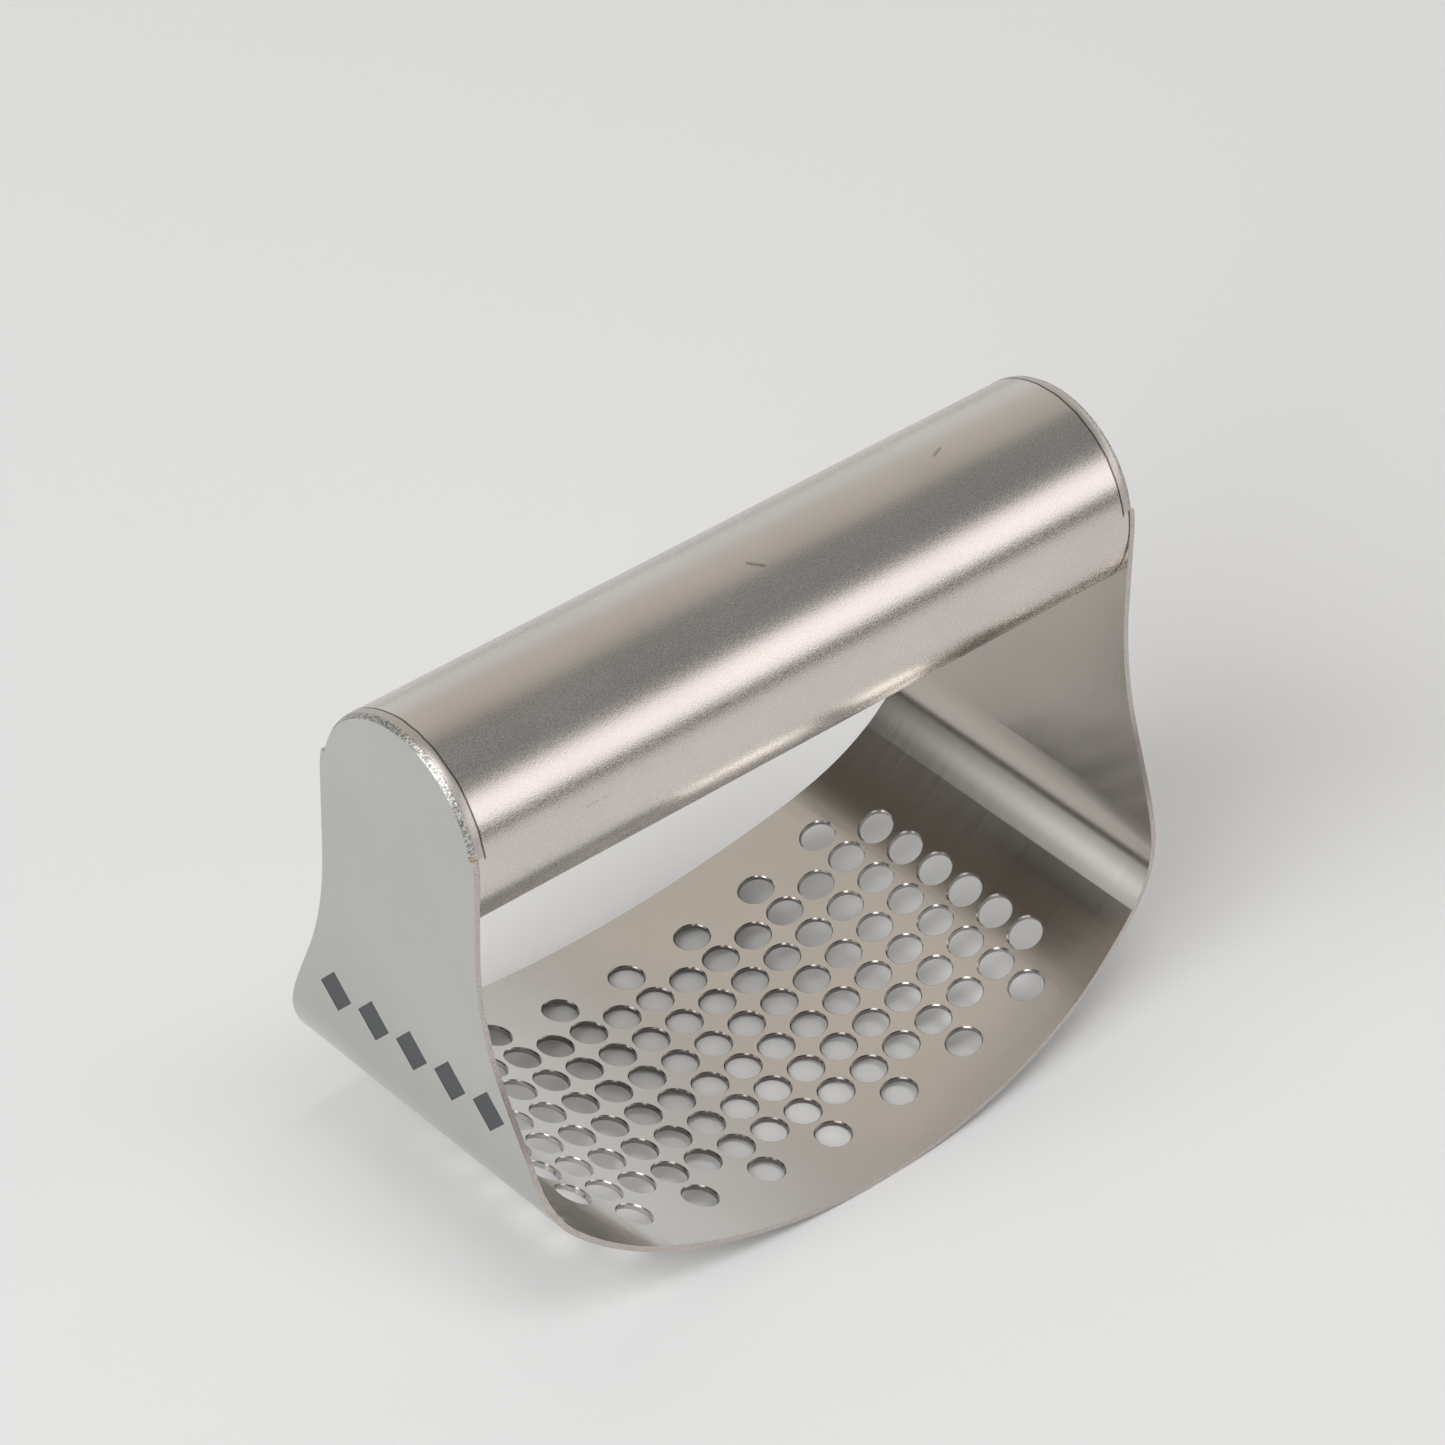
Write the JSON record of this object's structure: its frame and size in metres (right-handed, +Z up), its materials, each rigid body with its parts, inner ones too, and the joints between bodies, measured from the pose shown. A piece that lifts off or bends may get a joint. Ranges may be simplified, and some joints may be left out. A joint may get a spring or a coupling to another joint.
{
  "type": "rocking garlic press",
  "caption": "Rocking garlic press: a curved perforated steel plate bent up into two ears, with a round tube handle welded between them.",
  "frame": {"origin": "under the middle of the plate, on the surface that the press stands on", "axes": "+X along the handle, from the marked ear to the plain one; +Y across the plate; +Z up"},
  "size_m": [0.0942, 0.0524, 0.0712],
  "materials": {
    "brushed_plate": "stainless sheet, fine brushed grain across the plate, clear satin reflections",
    "satin_tube": "stainless tube, fine bead-blasted satin with a soft sparkle",
    "ground_weld": "weld metal ground and polished flush, with faint heat tint at its ends",
    "dark_enamel": "dark blue-grey enamel, satin, in shallow stamped recesses"
  },
  "bodies": {
    "root": {"press_plate": "brushed_plate", "handle_tube": "satin_tube", "left_weld_seam": "ground_weld", "right_weld_seam": "ground_weld", "mark_fill": "dark_enamel"}
  },
  "joints": []
}
